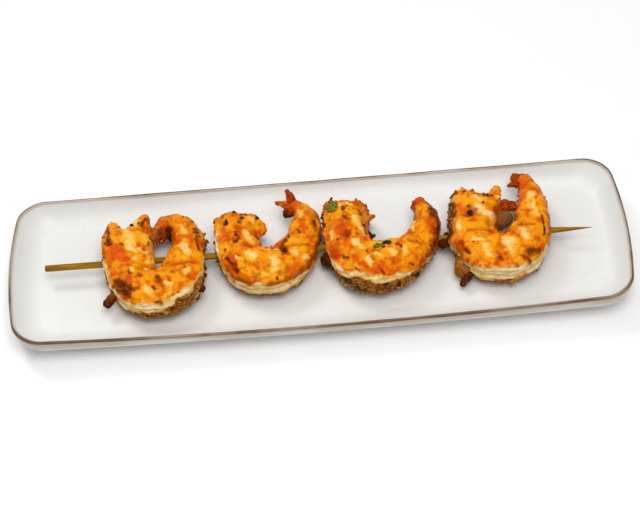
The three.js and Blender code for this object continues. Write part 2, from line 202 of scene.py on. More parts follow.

# Marks on the skin. Each runs between two places, given as share and angle, with a radius in
# millimetres: burnt spots, hot red patches, pale spots that are partly flesh showing through and
# partly painted highlights, and folds, darkened with painted shade.
MARKS = {
    "shrimp_1": {
        "char": [
            (0.025, 36, 0.098, 58, 1), (0.108, 87, 0.108, 87, 1), (0.288, 48, 0.343, 64, 1.8),
            (0.311, 42, 0.341, 49, 1.4), (0.323, 98, 0.333, 97, 0.8), (0.421, 100, 0.426, 98, 1.2),
            (0.411, 79, 0.414, 75, 0.9), (0.416, 42, 0.424, 41, 0.8), (0.995, 68, 1, 53, 1.5),
            (0.784, 53, 0.747, 56, 1.2), (0.734, 58, 0.672, 49, 0.7), (0.04, 125, 0.02, 127, 0.9),
            (0.053, 154, 0.063, 172, 0.7), (0.085, -177, 0.128, -176, 0.6),
            (0.266, 86, 0.278, 88, 0.6), (0.506, 99, 0.511, 95, 0.5),
            # the last two darken the tail's tip and inner flank beside the gap: partly burnt skin, partly
            # painted shade of the hole
            (0.94, 150, 0.84, 172, 2), (1, 108, 0.95, 150, 1.8),
        ],
        "red": [
            (0.118, 69, 0.158, 72, 1.8), (0.155, 86, 0.195, 89, 1.8), (0.308, 82, 0.323, 80, 1.4),
            (0.346, 82, 0.353, 79, 1.1), (0.942, 92, 0.852, 160, 2.1), (0.481, 59, 0.506, 54, 1.1),
            (0.213, 83, 0.241, 75, 0.9),
        ],
        "pale": [
            (0, 98, 0.02, 106, 1.8),
            (0.025, 90, 0.11, 107, 1.7), (0.115, 102, 0.15, 111, 1.4), (0.138, 131, 0.15, 136, 1.2),
            (0.201, 109, 0.195, 117, 1), (0.261, 92, 0.278, 143, 0.5), (0.699, 97, 0.649, 86, 1.5),
            (0.233, 142, 0.228, 157, 0.7), (0.393, 70, 0.381, 81, 1.2), (0.461, 88, 0.466, 76, 1.1),
            (0.82, 102, 0.772, 96, 1), (0.539, 75, 0.559, 73, 1.1), (0.439, 54, 0.456, 59, 0.7),
        ],
        "fold": [
            (0.586, 83, 0.594, 67, 0.5), (0.575, 100, 0.58, 85, 0.5),
        ],
    },
    "shrimp_2": {
        "char": [
            (0.138, 95, 0.19, 92, 1), (0.048, 66, 0.078, 72, 1), (0.263, 48, 0.303, 50, 0.9),
            (0.313, 46, 0.331, 39, 1), (0, 99, 0, 115, 0.8), (0, 154, 0, 167, 0.9),
            (0.637, 120, 0.549, 91, 1.1), (0.699, 119, 0.639, 113, 0.7),
            (0.827, 63, 0.794, 52, 1.1), (0.732, 96, 0.727, 92, 0.7), (0.361, 56, 0.366, 55, 0.5),
            (0.464, 40, 0.466, 34, 0.6), (0.92, 28, 0.72, 2, 1.5),
            (0.103, 179, 0.233, 159, 0.6),
        ],
        "red": [
            (0.178, 73, 0.206, 80, 1.4), (0.103, 62, 0.133, 71, 1.2), (0.251, 56, 0.316, 44, 1.5),
            (0.246, 102, 0.283, 113, 0.8), (1, 102, 1, 114, 1.4), (0.799, 96, 0.747, 79, 1.4),
            (0.396, 82, 0.401, 73, 0.8),
        ],
        "pale": [
            (0.155, 116, 0.208, 122, 1.5), (0.018, 121, 0.048, 141, 1.2),
            (0.469, 90, 0.474, 70, 1.6), (0.328, 95, 0.363, 92, 1.3), (0.371, 122, 0.561, 108, 0.5),
            (0.594, 83, 0.591, 71, 1.2), (0.917, 107, 0.857, 102, 0.9), (0.286, 72, 0.311, 74, 0.8),
            (0.419, 60, 0.434, 55, 0.9), (0.594, 44, 0.614, 39, 1),
        ],
        "fold": [
            (0.246, 102, 0.283, 113, 0.5), (0.624, 92, 0.677, 51, 0.6),
        ],
    },
    "shrimp_3": {
        "char": [
            (0.09, 88, 0.11, 91, 1), (0.068, 123, 0.08, 133, 1.1), (0.153, 143, 0.193, 146, 1),
            (0.07, 177, 0.198, 168, 0.7), (0.213, 88, 0.241, 91, 1.1), (0.333, 61, 0.346, 62, 1),
            (0.471, 57, 0.476, 51, 0.9), (0.574, 51, 0.576, 43, 0.7), (0.609, 106, 0.599, 95, 0.8),
            (0.93, 42, 0.76, 18, 2.2), (1, 123, 1, 142, 0.7), (0.391, 55, 0.393, 54, 0.5),
            (0.383, 101, 0.396, 97, 0.6), (0.717, 40, 0.724, 1, 0.8), (0.12, 23, 0.198, 21, 0.7),
        ],
        "red": [
            (0.128, 82, 0.198, 87, 1.6), (0.248, 83, 0.303, 86, 1.6), (0.276, 41, 0.318, 47, 1.5),
            (0.47, 62, 0.52, 46, 2.0), (1, 107, 0.99, 112, 1.5), (0.827, 83, 0.769, 55, 1.6),
            (0.401, 73, 0.419, 67, 1.1), (0.351, 75, 0.376, 72, 0.9),
        ],
        "pale": [
            (0.118, 114, 0.15, 125, 1.5), (0.18, 117, 0.198, 131, 0.9),
            (0.278, 102, 0.321, 107, 1.4), (0.534, 103, 0.544, 90, 1.5),
            (0.449, 102, 0.466, 96, 0.9), (0.604, 94, 0.604, 83, 1.1), (0.183, 50, 0.221, 53, 1),
            (0.025, 81, 0.025, 100, 0.9), (0.411, 90, 0.434, 79, 1), (0.835, 156, 0.742, 111, 0.9),
        ],
        "fold": [
            (0.667, 102, 0.689, 66, 0.6), (0.2, 100, 0.23, 80, 0.5),
        ],
    },
    "shrimp_4": {
        "char": [
            (0.128, 84, 0.138, 85, 2.2), (0.283, 48, 0.298, 49, 0.9), (0.313, 47, 0.331, 43, 0.9),
            (0.516, 55, 0.551, 43, 1.6), (0.501, 47, 0.509, 37, 1.1), (0.419, 64, 0.424, 59, 0.7),
            (0.524, 143, 0.494, 123, 0.7), (0, 106, 0, 123, 0.6), (0.09, 26, 0.223, 19, 1.9),
            (0.023, 25, 0.035, 26, 0.8), (0.125, 144, 0.193, 159, 0.6), (0.363, 38, 0.371, 35, 0.5),
            (0.727, 63, 0.619, 43, 0.5), (1, 132, 1, 123, 0.8),
        ],
        "red": [
            (0.1, 55, 0.143, 69, 1.6), (0.185, 79, 0.195, 92, 1.1), (0.266, 40, 0.316, 45, 1.4),
            (1, 144, 0.95, 120, 1.7), (0.078, 169, 0.815, 168, 1.6), (0.524, 77, 0.546, 57, 1.1),
            (0.456, 48, 0.464, 34, 0.9),
        ],
        "pale": [
            (0.095, 99, 0.123, 113, 1.6), (0.12, 128, 0.14, 153, 1.5), (0.03, 89, 0.045, 98, 1.2),
            (0.474, 100, 0.471, 81, 1.8), (0.361, 82, 0.388, 67, 1.4), (0.867, 91, 0.722, 86, 1.3),
            (0.589, 96, 0.569, 82, 1.6), (0.183, 53, 0.218, 56, 0.9), (0.296, 79, 0.326, 89, 0.9),
            (0.005, 138, 0, 138, 0.9),
        ],
        "fold": [
            (0.243, 75, 0.268, 121, 0.6), (0.637, 116, 0.654, 82, 0.6),
        ],
    },
}


# Numbers over whole arrays


def smooth(value, low, high):
    """0 below low, 1 above high, and the cubic 3t^2 - 2t^3 between them."""
    t = np.clip((value - low) / (high - low), 0, 1)
    return t * t * (3 - 2 * t)


def bell(value, width):
    """The bell exp(-(value / width)^2)."""
    return np.exp(-((value / width) ** 2))


def lattice_noise(points, scale, seed):
    """Value noise, -1 to 1: random values on a lattice of the given scale, blended between the
    eight corners of each cell by the cubic step."""
    size = 32
    table = np.random.default_rng(seed).uniform(-1, 1, (size, size, size))
    place = np.asarray(points) / scale
    cell = np.floor(place).astype(int)
    part = place - cell
    part = part * part * (3 - 2 * part)
    total = 0
    for corner in range(8):
        step = np.array([corner & 1, corner >> 1 & 1, corner >> 2 & 1])
        weight = np.prod(np.where(step, part, 1 - part), axis=-1)
        index = (cell + step) % size
        total = total + weight * table[index[..., 0], index[..., 1], index[..., 2]]
    return total


def layered_noise(points, scale, seed, layers=3):
    """A sum of lattice noises, each half as large and half as strong as the one before it."""
    total = sum(lattice_noise(points, scale / 2**k, seed + k) / 2**k for k in range(layers))
    return total / (2 - 2 ** (1 - layers))


def cell_seams(points, scale, seed):
    """1 on the seams between random cells of the given size, 0 inside them, from the difference
    between the distances to the two nearest of the random points, one in each lattice cell."""
    size = 16
    table = np.random.default_rng(seed).uniform(0.1, 0.9, (size, size, size, 3))
    place = np.asarray(points) / scale
    cell = np.floor(place).astype(int)
    nearest = np.full(place.shape[:-1], 9.0)
    second = np.full(place.shape[:-1], 9.0)
    for corner in range(27):
        step = np.array([corner % 3, corner // 3 % 3, corner // 9]) - 1
        index = (cell + step) % size
        spot = cell + step + table[index[..., 0], index[..., 1], index[..., 2]]
        away = np.linalg.norm(spot - place, axis=-1)
        second = np.minimum(second, np.maximum(nearest, away))
        nearest = np.minimum(nearest, away)
    return 1 - smooth(second - nearest, 0.02, 0.3)


def between(values, share):
    """Catmull-Rom curve through values at equal steps, at a share of the way."""
    values = np.asarray(values, float)
    place = np.clip(share, 0, 1) * (len(values) - 1)
    step = np.minimum(np.floor(place).astype(int), len(values) - 2)
    t = place - step
    a, b, c, d = (values[np.clip(step + k, 0, len(values) - 1)] for k in (-1, 0, 1, 2))
    slope_b = (c - a) / 2
    slope_c = (d - b) / 2
    return (
        b * (2 * t**3 - 3 * t**2 + 1)
        + slope_b * (t**3 - 2 * t**2 + t)
        + c * (3 * t**2 - 2 * t**3)
        + slope_c * (t**3 - t**2)
    )

# Meshes from arrays


class Shells:
    """Closed ringed surfaces gathered into one mesh, with values kept at each point."""

    def __init__(self):
        self.points = []
        self.quads = []
        self.triangles = []
        self.values = []
        self.count = 0

    def add(self, rings, **values):
        """Adds surfaces given as rings of points in millimetres, shape (copies, rows, columns, 3)
        or (rows, columns, 3). A point at its middle closes the first and the last ring."""
        rings = rings if rings.ndim == 4 else rings[None]
        copies, rows, columns = rings.shape[:3]
        ends = rings[:, 0].mean(1)[:, None], rings[:, -1].mean(1)[:, None]
        points = np.concatenate([ends[0], rings.reshape(copies, -1, 3), ends[1]], axis=1)
        each = points.shape[1]

        ring = np.arange(columns)
        after = (ring + 1) % columns
        starts = 1 + columns * np.arange(rows - 1)[:, None]
        corners = [starts + ring, starts + after, starts + columns + after, starts + columns + ring]
        quads = np.stack(corners, axis=-1).reshape(-1, 4)
        last = 1 + columns * (rows - 1)
        first_fan = np.stack([0 * ring, after + 1, ring + 1], axis=-1)
        last_fan = np.stack([0 * ring + each - 1, last + ring, last + after], axis=-1)
        triangles = np.concatenate([first_fan, last_fan])

        corner = points[0][quads]
        across = np.cross(corner[:, 2] - corner[:, 0], corner[:, 3] - corner[:, 1])
        if (corner.mean(1) * across).sum() < 0:
            quads = quads[:, ::-1]
            triangles = triangles[:, ::-1]
        offset = self.count + each * np.arange(copies)[:, None, None]
        self.points.append(points.reshape(-1, 3))
        self.quads.append((quads + offset).reshape(-1, 4))
        self.triangles.append((triangles + offset).reshape(-1, 3))
        filled = {}
        for name, value in values.items():
            value = np.asarray(value, float)
            value = value[:, None, None] if value.ndim == 1 else value
            value = np.broadcast_to(value, (copies, rows, columns))
            closed = [value[:, 0].mean(1)[:, None], value.reshape(copies, -1)]
            closed.append(value[:, -1].mean(1)[:, None])
            filled[name] = np.concatenate(closed, axis=1).ravel()
        self.values.append((copies * each, filled))
        self.count += copies * each

    def build(self, name, material, replaced=None):
        """Makes the mesh object, in metres, with smooth faces and its values as attributes."""
        quads = np.concatenate(self.quads)
        triangles = np.concatenate(self.triangles)
        corners = np.concatenate([quads.ravel(), triangles.ravel()])
        sizes = np.concatenate([np.full(len(quads), 4), np.full(len(triangles), 3)])
        mesh = bpy.data.meshes.new(name)
        mesh.vertices.add(self.count)
        mesh.vertices.foreach_set("co", (np.concatenate(self.points) * MM).ravel())
        mesh.loops.add(len(corners))
        mesh.loops.foreach_set("vertex_index", corners.astype(np.int32))
        mesh.polygons.add(len(sizes))
        mesh.polygons.foreach_set("loop_start", (np.cumsum(sizes) - sizes).astype(np.int32))
        mesh.update(calc_edges=True)
        mesh.polygons.foreach_set("use_smooth", np.ones(len(sizes), bool))
        for label in sorted({key for _, filled in self.values for key in filled}):
            parts = [filled.get(label, np.zeros(count)) for count, filled in self.values]
            layer = mesh.attributes.new(label, "FLOAT", "POINT")
            layer.data.foreach_set("value", np.concatenate(parts).astype(np.float32))
        mesh.materials.append(material)
        piece = bpy.data.objects.new(name, mesh)
        bpy.context.scene.collection.objects.link(piece)
        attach(piece, "root")
        if replaced:
            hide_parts(replaced)
        return piece


def outward(rings):
    """Unit normals of a ringed surface, from the cross product of its two directions."""
    around = np.roll(rings, -1, axis=-2) - np.roll(rings, 1, axis=-2)
    along = np.gradient(rings, axis=-3)
    normal = np.cross(along, around)
    normal /= np.maximum(np.linalg.norm(normal, axis=-1, keepdims=True), 1e-9)
    middle = rings.mean(axis=-2, keepdims=True)
    sign = np.sign(((rings - middle) * normal).sum(axis=(-3, -2, -1), keepdims=True))
    return normal * sign


# Shader helpers


def colour(red, green, blue):
    """A screen colour, 0 to 255, as linear light with full opacity."""
    value = np.array([red, green, blue]) / 255
    linear = np.where(value <= 0.04045, value / 12.92, ((value + 0.055) / 1.055) ** 2.4)
    return (*linear.tolist(), 1.0)


class Nodes:
    """Short words for adding and joining shader nodes in one tree."""

    def __init__(self, tree):
        self.tree = tree

    def new(self, kind, **settings):
        node = self.tree.nodes.new(kind)
        for name, value in settings.items():
            setattr(node, name, value)
        return node

    def put(self, source, socket):
        if isinstance(source, bpy.types.NodeSocket):
            self.tree.links.new(source, socket)
        else:
            socket.default_value = source

    def place(self):
        return self.new("ShaderNodeTexCoord").outputs["Object"]

    def attribute(self, name):
        return self.new("ShaderNodeAttribute", attribute_name=name).outputs["Fac"]

    def stretched(self, source, scale):
        node = self.new("ShaderNodeMapping")
        self.put(source, node.inputs["Vector"])
        node.inputs["Scale"].default_value = scale
        return node.outputs["Vector"]

    def noise(self, vector, scale, detail=3.0, roughness=0.55, distortion=0.0):
        node = self.new("ShaderNodeTexNoise")
        self.put(vector, node.inputs["Vector"])
        self.put(scale, node.inputs["Scale"])
        node.inputs["Detail"].default_value = detail
        node.inputs["Roughness"].default_value = roughness
        node.inputs["Distortion"].default_value = distortion
        return node.outputs["Fac"]

    def math(self, operation, a, b=0.0, c=0.0):
        node = self.new("ShaderNodeMath", operation=operation)
        for value, socket in zip((a, b, c), node.inputs):
            self.put(value, socket)
        return node.outputs[0]

    def ramp(self, source, low, high, to_low=0.0, to_high=1.0):
        node = self.new("ShaderNodeMapRange", interpolation_type="SMOOTHSTEP")
        for value, name in (
            (source, "Value"),
            (low, "From Min"),
            (high, "From Max"),
            (to_low, "To Min"),
            (to_high, "To Max"),
        ):
            self.put(value, node.inputs[name])
        return node.outputs["Result"]

    def blend(self, factor, a, b):
        node = self.new("ShaderNodeMix", data_type="RGBA")
        self.put(factor, node.inputs["Factor"])
        self.put(a, node.inputs["A"])
        self.put(b, node.inputs["B"])
        return node.outputs["Result"]

    def bump(self, height, distance, strength=1.0, under=None):
        node = self.new("ShaderNodeBump")
        self.put(height, node.inputs["Height"])
        node.inputs["Distance"].default_value = distance
        node.inputs["Strength"].default_value = strength
        if under is not None:
            self.put(under, node.inputs["Normal"])
        return node.outputs["Normal"]


def new_material(name):
    """An empty material with one Principled shader; gives the material, its nodes and shader."""
    material = bpy.data.materials.new(name)
    material.use_nodes = True
    tree = material.node_tree
    tree.nodes.clear()
    nodes = Nodes(tree)
    shader = nodes.new("ShaderNodeBsdfPrincipled")
    output = nodes.new("ShaderNodeOutputMaterial")
    tree.links.new(shader.outputs["BSDF"], output.inputs["Surface"])
    return material, nodes, shader


def mottle_group():
    """Blotches and specks of fired or cooked surfaces: one mask of soft blotches, one of fine
    specks and the fine unevenness behind them, all from the place on the surface."""
    group = bpy.data.node_groups.new("mottle", "ShaderNodeTree")
    group.interface.new_socket("Place", in_out="INPUT", socket_type="NodeSocketVector")
    group.interface.new_socket("Blotch Scale", in_out="INPUT", socket_type="NodeSocketFloat")
    group.interface.new_socket("Speck Scale", in_out="INPUT", socket_type="NodeSocketFloat")
    for name in ("Blotches", "Specks", "Unevenness"):
        group.interface.new_socket(name, in_out="OUTPUT", socket_type="NodeSocketFloat")
    nodes = Nodes(group)
    place, blotch_scale, speck_scale = nodes.new("NodeGroupInput").outputs[:3]
    result = nodes.new("NodeGroupOutput")
    blotch = nodes.noise(place, blotch_scale, 4, 0.55, 0.6)
    speck = nodes.noise(place, speck_scale, 2)
    nodes.put(nodes.ramp(blotch, 0.4, 0.62), result.inputs["Blotches"])
    nodes.put(nodes.ramp(speck, 0.6, 0.7), result.inputs["Specks"])
    nodes.put(speck, result.inputs["Unevenness"])
    return group


MOTTLE = mottle_group()


def mottled(nodes, place, blotch_scale, speck_scale):
    """Places the mottle group and gives its three masks."""
    node = nodes.new("ShaderNodeGroup", node_tree=MOTTLE)
    nodes.put(place, node.inputs["Place"])
    node.inputs["Blotch Scale"].default_value = blotch_scale
    node.inputs["Speck Scale"].default_value = speck_scale
    return node.outputs["Blotches"], node.outputs["Specks"], node.outputs["Unevenness"]


# Materials


def glaze_material():
    """Cream-white stoneware glaze that thins to brown on the rim's edge, and is tan in patches on the outside
    wall just below it.
    """
    material, nodes, shader = new_material("cream_glaze")
    place = nodes.place()
    blotches, specks, uneven = mottled(nodes, place, 14, 260)
    base = nodes.blend(nodes.math("MULTIPLY", blotches, 0.5), colour(234, 234, 231), colour(230, 228, 224))
    base = nodes.blend(nodes.math("MULTIPLY", specks, 0.06), base, colour(190, 172, 145))

    wander = nodes.math("MULTIPLY_ADD", nodes.noise(place, 60, 3), 1.0, -0.5)
    thin = nodes.math("ADD", nodes.attribute("edge"), wander)
    worn = nodes.ramp(nodes.noise(place, 45, 3), 0.3, 0.6, 0.6, 1.0)
    patchy = nodes.ramp(nodes.noise(place, 40, 3), 0.35, 0.6, 0.55, 1)
    # Tan in patches on the outside wall, from 0.6 to 8.5 mm along the section past the crest.
    tan = nodes.math("MULTIPLY", nodes.math("MULTIPLY", nodes.attribute("tan"), patchy), 0.78)
    base = nodes.blend(tan, base, colour(186, 164, 137))
    base = nodes.blend(nodes.ramp(thin, 2.8, 0.9, 0, 0.75), base, colour(190, 164, 134))
    brown = nodes.math("MULTIPLY", nodes.ramp(thin, 1.15, 0.5), worn)
    base = nodes.blend(brown, base, colour(98, 70, 48))
    nodes.put(base, shader.inputs["Base Color"])
    nodes.put(nodes.ramp(brown, 0, 1, 0.38, 0.55), shader.inputs["Roughness"])
    shader.inputs["Specular IOR Level"].default_value = 0.4
    shader.inputs["Coat Weight"].default_value = 0.1
    shader.inputs["Coat Roughness"].default_value = 0.25
    nodes.put(nodes.bump(uneven, 0.00012, 0.25), shader.inputs["Normal"])
    return material


def bamboo_material():
    """Pale bamboo with long dark fibres, browner in patches where it was near the heat."""
    material, nodes, shader = new_material("bamboo_stick")
    place = nodes.place()
    fibres = nodes.noise(nodes.stretched(place, (0.04, 1, 1)), 2600, 3, 0.6)
    streak = nodes.noise(nodes.stretched(place, (0.06, 1, 1)), 700, 2)
    base = nodes.blend(nodes.ramp(streak, 0.35, 0.65), colour(130, 88, 2), colour(178, 130, 18))
    base = nodes.blend(nodes.ramp(fibres, 0.54, 0.72, 0, 0.7), base, colour(104, 68, 10))
    toasted = nodes.math("MULTIPLY", nodes.attribute("toast"), nodes.ramp(streak, 0.3, 0.7, 0.6, 1))
    base = nodes.blend(toasted, base, colour(160, 104, 18))
    nodes.put(base, shader.inputs["Base Color"])
    shader.inputs["Roughness"].default_value = 0.5
    shader.inputs["Specular IOR Level"].default_value = 0.1
    nodes.put(nodes.bump(fibres, 0.0002, 0.6), shader.inputs["Normal"])
    return material


def shrimp_material():
    """Seared shrimp: gold to deep orange skin with painted top light and painted shade, pale flesh in
    the cuts, a brown crust below, red and burnt marks and painted highlights, under a thin coat of oil."""
    material, nodes, shader = new_material("seared_shrimp")
    place = nodes.place()
    blotches, specks, uneven = mottled(nodes, place, 170, 1000)
    fine = nodes.noise(place, 800, 3, 0.5)
    medium = nodes.noise(place, 290, 3, 0.5, 0.5)
    broad = nodes.noise(place, 110, 2)
    relief = nodes.attribute("relief")

    skin = nodes.blend(nodes.ramp(broad, 0.4, 0.6), colour(246, 148, 6), colour(226, 94, 0))
    # Painted light and shade: gold-yellow where the gold-and-top-light value is high, on upward faces and the
    # middle of each stretch, dark brown-orange on the sides and underside; the noise mottling is the skin's own
    # tone.
    lit = nodes.math("ADD", medium, blotches)
    lit = nodes.math("MULTIPLY_ADD", lit, 0.5, nodes.attribute("golden"))
    skin = nodes.blend(nodes.ramp(lit, 1.08, 0.45, 0, 0.9), skin, colour(170, 66, 0))
    skin = nodes.blend(nodes.ramp(lit, 1.05, 1.6, 0, 0.75), skin, colour(255, 174, 16))
    # Lighter gold on the bumps is a painted highlight; the darker brown-red in the hollows is partly spice and
    # oil colour, partly painted shade.
    raised = nodes.math("MULTIPLY_ADD", relief, 0.32, medium)
    skin = nodes.blend(nodes.ramp(raised, 0.58, 0.88, 0, 0.55), skin, colour(255, 192, 62))
    skin = nodes.blend(nodes.ramp(raised, 0.48, 0.06, 0, 0.7), skin, colour(160, 56, 0))
    seam = nodes.math("MULTIPLY", nodes.attribute("seam"), nodes.ramp(medium, 0.6, 0.4))
    skin = nodes.blend(nodes.math("MULTIPLY", seam, 0.2), skin, colour(178, 68, 0))
    skin = nodes.blend(nodes.ramp(fine, 0.58, 0.78, 0, 0.12), skin, colour(196, 88, 2))

    flesh = nodes.blend(nodes.ramp(medium, 0.35, 0.65), colour(255, 241, 205), colour(255, 221, 148))
    # Darker in the grooves of the flesh: painted shade.
    flesh = nodes.blend(nodes.ramp(relief, 0.15, -0.35, 0, 0.7), flesh, colour(196, 140, 46))
    flesh = nodes.blend(nodes.ramp(broad, 0.42, 0.62, 0, 0.5), flesh, colour(236, 194, 84))
    flesh = nodes.blend(nodes.attribute("rind"), flesh, colour(214, 146, 30))

    crust = nodes.blend(nodes.ramp(fine, 0.38, 0.62), colour(98, 50, 6), colour(184, 114, 36))
    crust = nodes.blend(nodes.ramp(broad, 0.54, 0.66, 0, 0.5), crust, colour(96, 84, 14))
    # Lighter tan on the raised bumps of the crust: painted highlight.
    crust = nodes.blend(nodes.ramp(raised, 0.5, 0.75, 0, 0.85), crust, colour(222, 168, 74))
    crust = nodes.blend(nodes.math("MULTIPLY", specks, 0.6), crust, colour(48, 34, 6))

    broken = nodes.math("MULTIPLY_ADD", fine, 0.3, nodes.math("MULTIPLY_ADD", medium, 0.9, -0.6))

    def rough_edge(name, strength, middle=0.5, width=0.14):
        """An attribute's mask, its border broken up by noise of the given strength."""
        ragged = nodes.math("MULTIPLY_ADD", broken, strength, nodes.attribute(name))
        return nodes.ramp(ragged, middle - width, middle + width)

    # Pale spots with a gold halo: partly flesh showing through, partly painted highlights standing for the
    # glints of oil.
    halo = nodes.math("MULTIPLY", rough_edge("cream", 1.2, 0.34, 0.36), 0.8)
    base = nodes.blend(halo, skin, colour(255, 184, 48))
    core = nodes.math("MULTIPLY", rough_edge("cream", 1.1, 0.76, 0.5), 0.8)
    light = nodes.blend(nodes.ramp(medium, 0.35, 0.65), colour(252, 200, 92), colour(255, 232, 172))
    base = nodes.blend(core, base, light)
    red = nodes.math("MULTIPLY", rough_edge("red", 1.2, 0.55, 0.5), 0.75)
    hot = nodes.blend(nodes.ramp(medium, 0.4, 0.6), colour(238, 64, 0), colour(192, 46, 0))
    base = nodes.blend(red, base, hot)
    base = nodes.blend(rough_edge("pale", 1.6, 0.5, 0.2), base, flesh)
    base = nodes.blend(rough_edge("crust", 2.0, 0.5, 0.2), base, crust)
    shell = nodes.blend(nodes.ramp(fine, 0.4, 0.6), colour(176, 56, 4), colour(92, 24, 2))
    base = nodes.blend(nodes.math("MULTIPLY", rough_edge("tail", 1.6, 0.5, 0.3), 0.9), base, shell)
    singed = nodes.math("MULTIPLY", rough_edge("char", 1.2, 0.34, 0.36), 0.85)
    base = nodes.blend(singed, base, colour(158, 60, 0))
    burnt = nodes.blend(nodes.ramp(fine, 0.4, 0.6), colour(36, 12, 2), colour(80, 30, 4))
    base = nodes.blend(nodes.math("MULTIPLY", rough_edge("char", 1.4, 0.78, 0.36), 0.92), base, burnt)
    # Darker red-orange in the folds: painted shade in the creases.
    base = nodes.blend(nodes.math("MULTIPLY", nodes.attribute("fold"), 0.7), base, colour(176, 62, 2))
    # Dark grey-brown on the shade piece and on part of the flap: painted shade.
    shade = nodes.math("MULTIPLY", nodes.attribute("shade"), 0.9)
    base = nodes.blend(shade, base, nodes.blend(fine, colour(92, 52, 16), colour(150, 104, 52)))
    nodes.put(base, shader.inputs["Base Color"])
    nodes.put(nodes.ramp(fine, 0.3, 0.7, 0.2, 0.36), shader.inputs["Roughness"])
    shader.inputs["Specular IOR Level"].default_value = 0.08
    shader.inputs["Specular Tint"].default_value = (1.0, 0.72, 0.4, 1.0)
    shader.inputs["Subsurface Weight"].default_value = 0.06
    shader.inputs["Subsurface Radius"].default_value = (0.0012, 0.0005, 0.0002)
    shader.inputs["Subsurface Scale"].default_value = 1.0
    shader.inputs["Coat Weight"].default_value = 0.03
    shader.inputs["Coat Roughness"].default_value = 0.1
    medium_bump = nodes.bump(medium, 0.001, 0.5)
    nodes.put(nodes.bump(uneven, 0.0003, 0.2, medium_bump), shader.inputs["Normal"])
    return material


def herb_material():
    """Wilted green herb, from bright leaf to nearly black where it burnt."""
    material, nodes, shader = new_material("herb_leaf")
    fine = nodes.noise(nodes.place(), 900, 3)
    leaf = nodes.blend(nodes.ramp(fine, 0.35, 0.65), colour(78, 84, 12), colour(128, 132, 34))
    base = nodes.blend(nodes.attribute("burnt"), leaf, nodes.blend(fine, colour(26, 16, 5), colour(62, 42, 14)))
    nodes.put(base, shader.inputs["Base Color"])
    shader.inputs["Roughness"].default_value = 0.4
    shader.inputs["Specular IOR Level"].default_value = 0.08
    nodes.put(nodes.bump(fine, 0.0003, 0.6), shader.inputs["Normal"])
    return material


def crumb_material():
    """Crumbs of seared crust: each from nearly black over brown to tan, by its own tone."""
    material, nodes, shader = new_material("seared_crumb")
    fine = nodes.noise(nodes.place(), 1200, 3)
    tone = nodes.attribute("tone")
    base = nodes.blend(nodes.ramp(tone, 0.0, 0.5), colour(64, 32, 6), colour(134, 70, 10))
    base = nodes.blend(nodes.ramp(tone, 0.5, 1.0), base, colour(206, 146, 56))
    base = nodes.blend(nodes.ramp(fine, 0.5, 0.7, 0, 0.5), base, colour(90, 44, 10))
    nodes.put(base, shader.inputs["Base Color"])
    shader.inputs["Roughness"].default_value = 0.45
    shader.inputs["Specular IOR Level"].default_value = 0.08
    nodes.put(nodes.bump(fine, 0.0003, 0.6), shader.inputs["Normal"])
    return material


# Plate


def plate_outline(u, inset):
    """Place at a share u of the way round a rounded rectangle whose sides bow out by
    bow * (place / half side) * (1 - (other place / other half side)^2), moved in by inset."""
    half_length = PLATE_LENGTH / 2 - END_BOW
    half_width = PLATE_WIDTH / 2 - SIDE_BOW
    end_share, side_share = 0.16, 0.5
    turn = (u % 1) * 4
    quarter = np.floor(turn).astype(int) % 4
    share = turn - np.floor(turn)
    share = np.where(quarter % 2 == 0, share, 1 - share)
    a = half_length - inset
    b = half_width - inset
    radius = np.maximum(CORNER_RADIUS - inset * 0.35, 7)
    angle = np.clip((share - end_share) / (1 - end_share - side_share), 0, 1) * np.pi / 2
    x = a - radius + radius * np.cos(angle)
    y = b - radius + radius * np.sin(angle)
    y = np.where(share < end_share, share / end_share * (b - radius), y)
    x = np.where(share > 1 - side_share, (1 - share) / side_share * (a - radius), x)
    bowed_x = x + END_BOW * (x / half_length) * (1 - (y / half_width) ** 2)
    bowed_y = y + SIDE_BOW * (y / half_width) * (1 - (x / half_length) ** 2)
    right = (quarter == 0) | (quarter == 3)
    return np.where(right, bowed_x, -bowed_x), np.where(quarter < 2, bowed_y, -bowed_y)


def plate_section():
    """The plate's section as points (inset from the edge, height), from near the middle of the
    floor up the slope, over a rounded rim, down the outside, round the foot and in again."""
    floor = [(inset, FLOOR_HEIGHT) for inset in np.linspace(FOOT_INSET * 2.4, WALL_RUN + 1, 24)]
    rise = RIM_HEIGHT - 0.6 - FLOOR_HEIGHT
    slope = [
        (WALL_RUN + 0.8 - run * (WALL_RUN - 0.6), FLOOR_HEIGHT + rise * run**1.95)
        for run in np.linspace(0.03, 1, 34)
    ]
    crown = [
        (0.8 + 0.8 * np.cos(turn), RIM_HEIGHT - 0.8 + 0.8 * np.sin(turn))
        for turn in np.linspace(0.7, np.pi, 14)
    ]
    corners = [
        (0, RIM_HEIGHT - 0.9),
        (0.25, RIM_HEIGHT - 3.2),
        (0.9, RIM_HEIGHT - 6),
        (2.5, RIM_HEIGHT - 8.9),
        (6.4, RIM_HEIGHT - 11.5),
        (FOOT_INSET - 1.6, FOOT_HEIGHT + 0.6),
    ]
    places = np.linspace(0, 1, 40)
    outside = np.stack([between([c[k] for c in corners], places) for k in (0, 1)], axis=-1)
    foot = [
        (FOOT_INSET - 0.5, 0.9),
        (FOOT_INSET - 0.1, 0.3),
        (FOOT_INSET + 0.3, 0),
        (FOOT_INSET + FOOT_WIDTH - 0.3, 0),
        (FOOT_INSET + FOOT_WIDTH, 0.3),
        (FOOT_INSET + FOOT_WIDTH + 0.6, FOOT_HEIGHT),
        (FOOT_INSET * 2, FOOT_HEIGHT),
        (FOOT_INSET * 2.4, FOOT_HEIGHT),
    ]
    return np.array(floor + slope + crown + list(map(tuple, outside[2:])) + foot)


